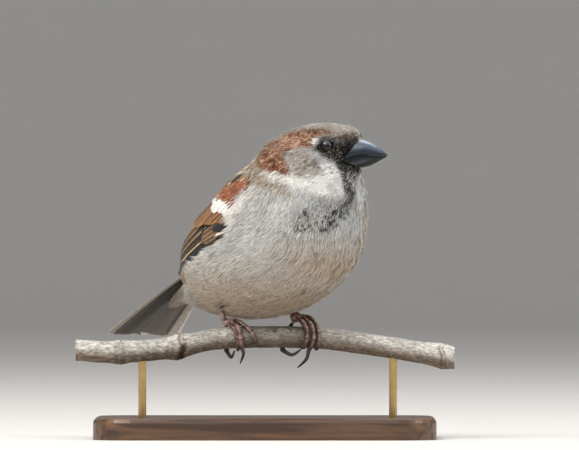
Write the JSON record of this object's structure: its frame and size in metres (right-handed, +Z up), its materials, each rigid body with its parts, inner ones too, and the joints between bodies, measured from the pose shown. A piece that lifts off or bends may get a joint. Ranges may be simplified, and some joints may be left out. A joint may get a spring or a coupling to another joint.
{
  "type": "perched house sparrow, display model",
  "caption": "Life-size male house sparrow with fluffed plumage, gripping a cut length of branch on a small display stand.",
  "frame": {"origin": "middle of the underside of the stand's base, at floor level", "axes": "+Z up; +X along the branch, towards the side that the bird looks to; -Y towards the side that its breast half faces"},
  "size_m": [0.142, 0.0993, 0.118],
  "materials": {
    "plumage": "soft matte feathers, grey, chestnut, buff, white and black",
    "flight_feathers": "smooth satin feathers, blackish brown with buff and chestnut edges",
    "bill_horn": "satin blue-black horn",
    "eye": "wet gloss, near-black brown",
    "leg_skin": "scaly, pinkish brown",
    "claw_horn": "satin dark brown horn",
    "bark": "pale grey bark, rough and speckled",
    "base_wood": "dark satin wood",
    "rod_brass": "satin brass"
  },
  "bodies": {
    "root": {"trunk": "plumage", "neck": "plumage", "head": "plumage", "wing_left_coverts": "flight_feathers", "wing_left_secondaries": "flight_feathers", "wing_left_primaries": "flight_feathers", "wing_right_coverts": "flight_feathers", "wing_right_secondaries": "flight_feathers", "wing_right_primaries": "flight_feathers", "tail": "flight_feathers", "bill_upper": "bill_horn", "bill_lower": "bill_horn", "eye_left": "eye", "eye_right": "eye", "tarsus_left": "leg_skin", "foot_left": "leg_skin", "toe_left_inner": "leg_skin", "toe_left_middle": "leg_skin", "toe_left_outer": "leg_skin", "toe_left_hind": "leg_skin", "claw_left_inner": "claw_horn", "claw_left_middle": "claw_horn", "claw_left_outer": "claw_horn", "claw_left_hind": "claw_horn", "tarsus_right": "leg_skin", "foot_right": "leg_skin", "toe_right_inner": "leg_skin", "toe_right_middle": "leg_skin", "toe_right_outer": "leg_skin", "toe_right_hind": "leg_skin", "claw_right_inner": "claw_horn", "claw_right_middle": "claw_horn", "claw_right_outer": "claw_horn", "claw_right_hind": "claw_horn", "perch": "bark", "stand_base": "base_wood", "stand_rod_left": "rod_brass", "stand_rod_right": "rod_brass"}
  },
  "joints": []
}
